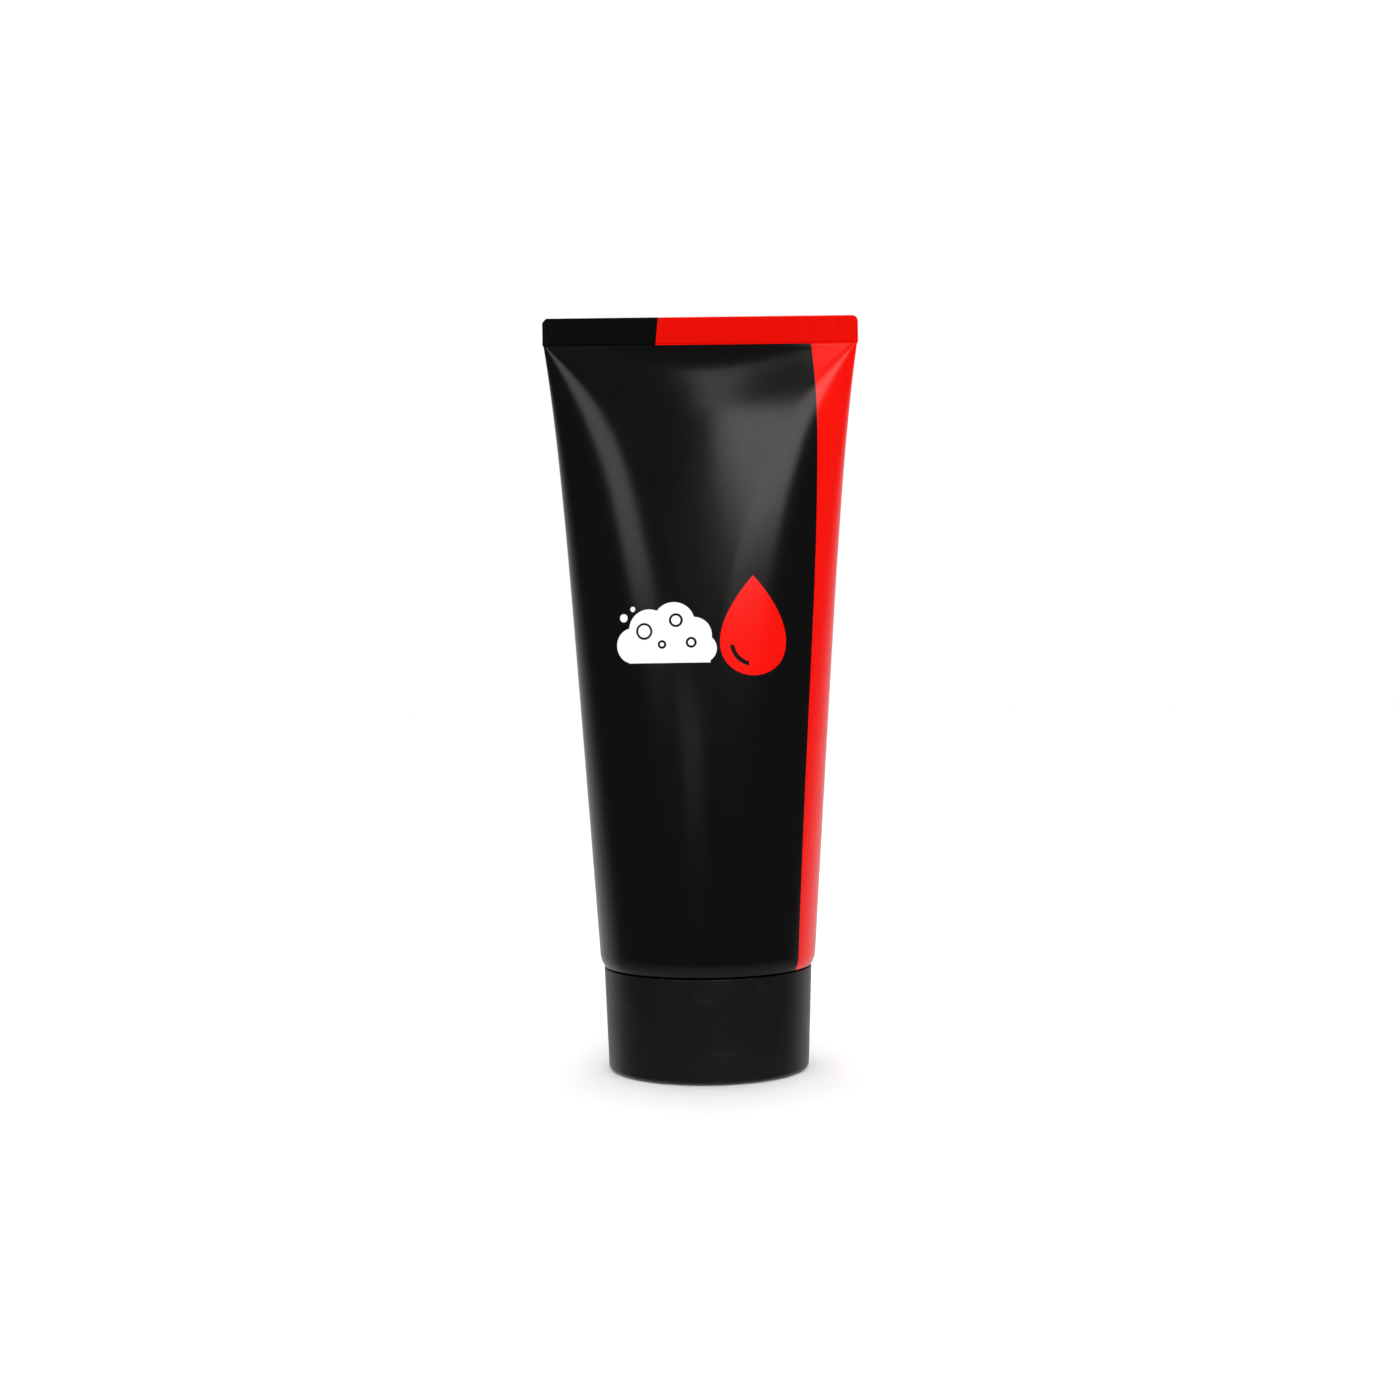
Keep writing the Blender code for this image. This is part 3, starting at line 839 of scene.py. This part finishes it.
def softbox(name, azimuth, elevation, width, height, radiance, turn=0.0):
    """A rectangular lamp facing the object; radiance is what a mirror would show of it."""
    data = bpy.data.lights.new(name, "AREA")
    data.shape = "RECTANGLE"
    data.size = width
    data.size_y = height
    data.energy = radiance * math.pi * width * height
    data.color = LAMP_COLOR
    made = bpy.data.objects.new(name, data)
    bpy.context.scene.collection.objects.link(made)
    out = toward(azimuth, elevation)
    made.location = LAMP_AIM + out * LAMP_DISTANCE
    facing = out.to_track_quat("Z", "Y").to_matrix() @ Matrix.Rotation(math.radians(turn), 3, "Z")
    made.rotation_euler = facing.to_euler()
    made.visible_camera = False


def ambient(name, azimuth, elevation, spread, strength):
    """Even light from a wide part of the sky, which gives surfaces their colour but no reflection."""
    data = bpy.data.lights.new(name, "SUN")
    data.angle = math.radians(spread)
    data.energy = strength
    data.cycles.use_multiple_importance_sampling = False
    made = bpy.data.objects.new(name, data)
    bpy.context.scene.collection.objects.link(made)
    made.rotation_euler = toward(azimuth, elevation).to_track_quat("Z", "Y").to_euler()
    made.visible_glossy = False
    made.visible_camera = False


softbox("key_left", -32, 29, 0.27, 0.52, 1.8, turn=14)
softbox("key_right", 20.5, 31, 0.49, 0.40, 2.75, turn=-9)
softbox("key_right_top", 5, 54, 0.15, 0.40, 1.5)
softbox("fill_low", -9, 10, 0.26, 0.13, 0.48)
softbox("rear_left", -155, 34, 0.3, 0.3, 1.8)
softbox("rear_right", 160, 34, 0.3, 0.3, 1.8)
ambient("sky", 0, 90, 170, 1.75)
ambient("front", 0, 12, 150, 1.15)
ambient("rear", 180, 12, 150, 1.15)

floor_mesh = bpy.data.meshes.new("floor")
floor_reach = 9.0
floor_level = -0.2 * MM
corners = [(x * floor_reach, y * floor_reach, floor_level) for x, y in ((-1, -1), (1, -1), (1, 1), (-1, 1))]
floor_mesh.from_pydata(corners, [], [(0, 1, 2, 3)])
floor = bpy.data.objects.new("floor", floor_mesh)
bpy.context.scene.collection.objects.link(floor)
floor.visible_glossy = False
ground = Nodes("floor")
ground.set(color=ground.mix(ground.noise(3.0), (0.96,) * 3, (0.97,) * 3), roughness=0.9, specular=0.0)
dress(floor, [ground.material])

FRONT_GLOW, REAR_GLOW = 0.06, 0.6  # what surfaces reflect of the room before and behind the object
FLOOR_GLOW = 0.34  # and of the pale floor, looking steeply down
BACKDROP_LEVEL = 1.02  # what the camera sees
BACKDROP_COLOR = (0.985, 0.99, 1.0, 1.0)


def make_backdrop():
    world = bpy.data.worlds.new("studio")
    bpy.context.scene.world = world
    world.use_nodes = True
    world.cycles.sampling_method = "NONE"
    tree = world.node_tree
    tree.nodes.clear()

    def graded(value, low, high, to_low, to_high, kind):
        made = tree.nodes.new("ShaderNodeMapRange")
        made.interpolation_type = kind
        tree.links.new(value, made.inputs[0])
        for socket, number in zip(made.inputs[1:], (low, high, to_low, to_high)):
            socket.default_value = number
        return made.outputs[0]

    axes = tree.nodes.new("ShaderNodeSeparateXYZ")
    tree.links.new(tree.nodes.new("ShaderNodeTexCoord").outputs["Generated"], axes.inputs[0])
    behind = graded(axes.outputs[1], 0.1, 0.8, FRONT_GLOW, REAR_GLOW, "SMOOTHSTEP")
    below = graded(axes.outputs[2], 0.0, -0.7, 0.0, FLOOR_GLOW, "LINEAR")
    room = tree.nodes.new("ShaderNodeMath")
    room.operation = "MAXIMUM"
    tree.links.new(behind, room.inputs[0])
    tree.links.new(below, room.inputs[1])
    level = tree.nodes.new("ShaderNodeMix")
    level.data_type = "FLOAT"
    tree.links.new(tree.nodes.new("ShaderNodeLightPath").outputs["Is Camera Ray"], level.inputs[0])
    tree.links.new(room.outputs[0], level.inputs[2])
    level.inputs[3].default_value = BACKDROP_LEVEL
    shown = tree.nodes.new("ShaderNodeBackground")
    shown.inputs["Color"].default_value = BACKDROP_COLOR
    tree.links.new(level.outputs[0], shown.inputs["Strength"])
    tree.links.new(shown.outputs[0], tree.nodes.new("ShaderNodeOutputWorld").inputs[0])


make_backdrop()

bpy.context.scene.view_settings.view_transform = "Standard"
bpy.context.scene.view_settings.look = "None"
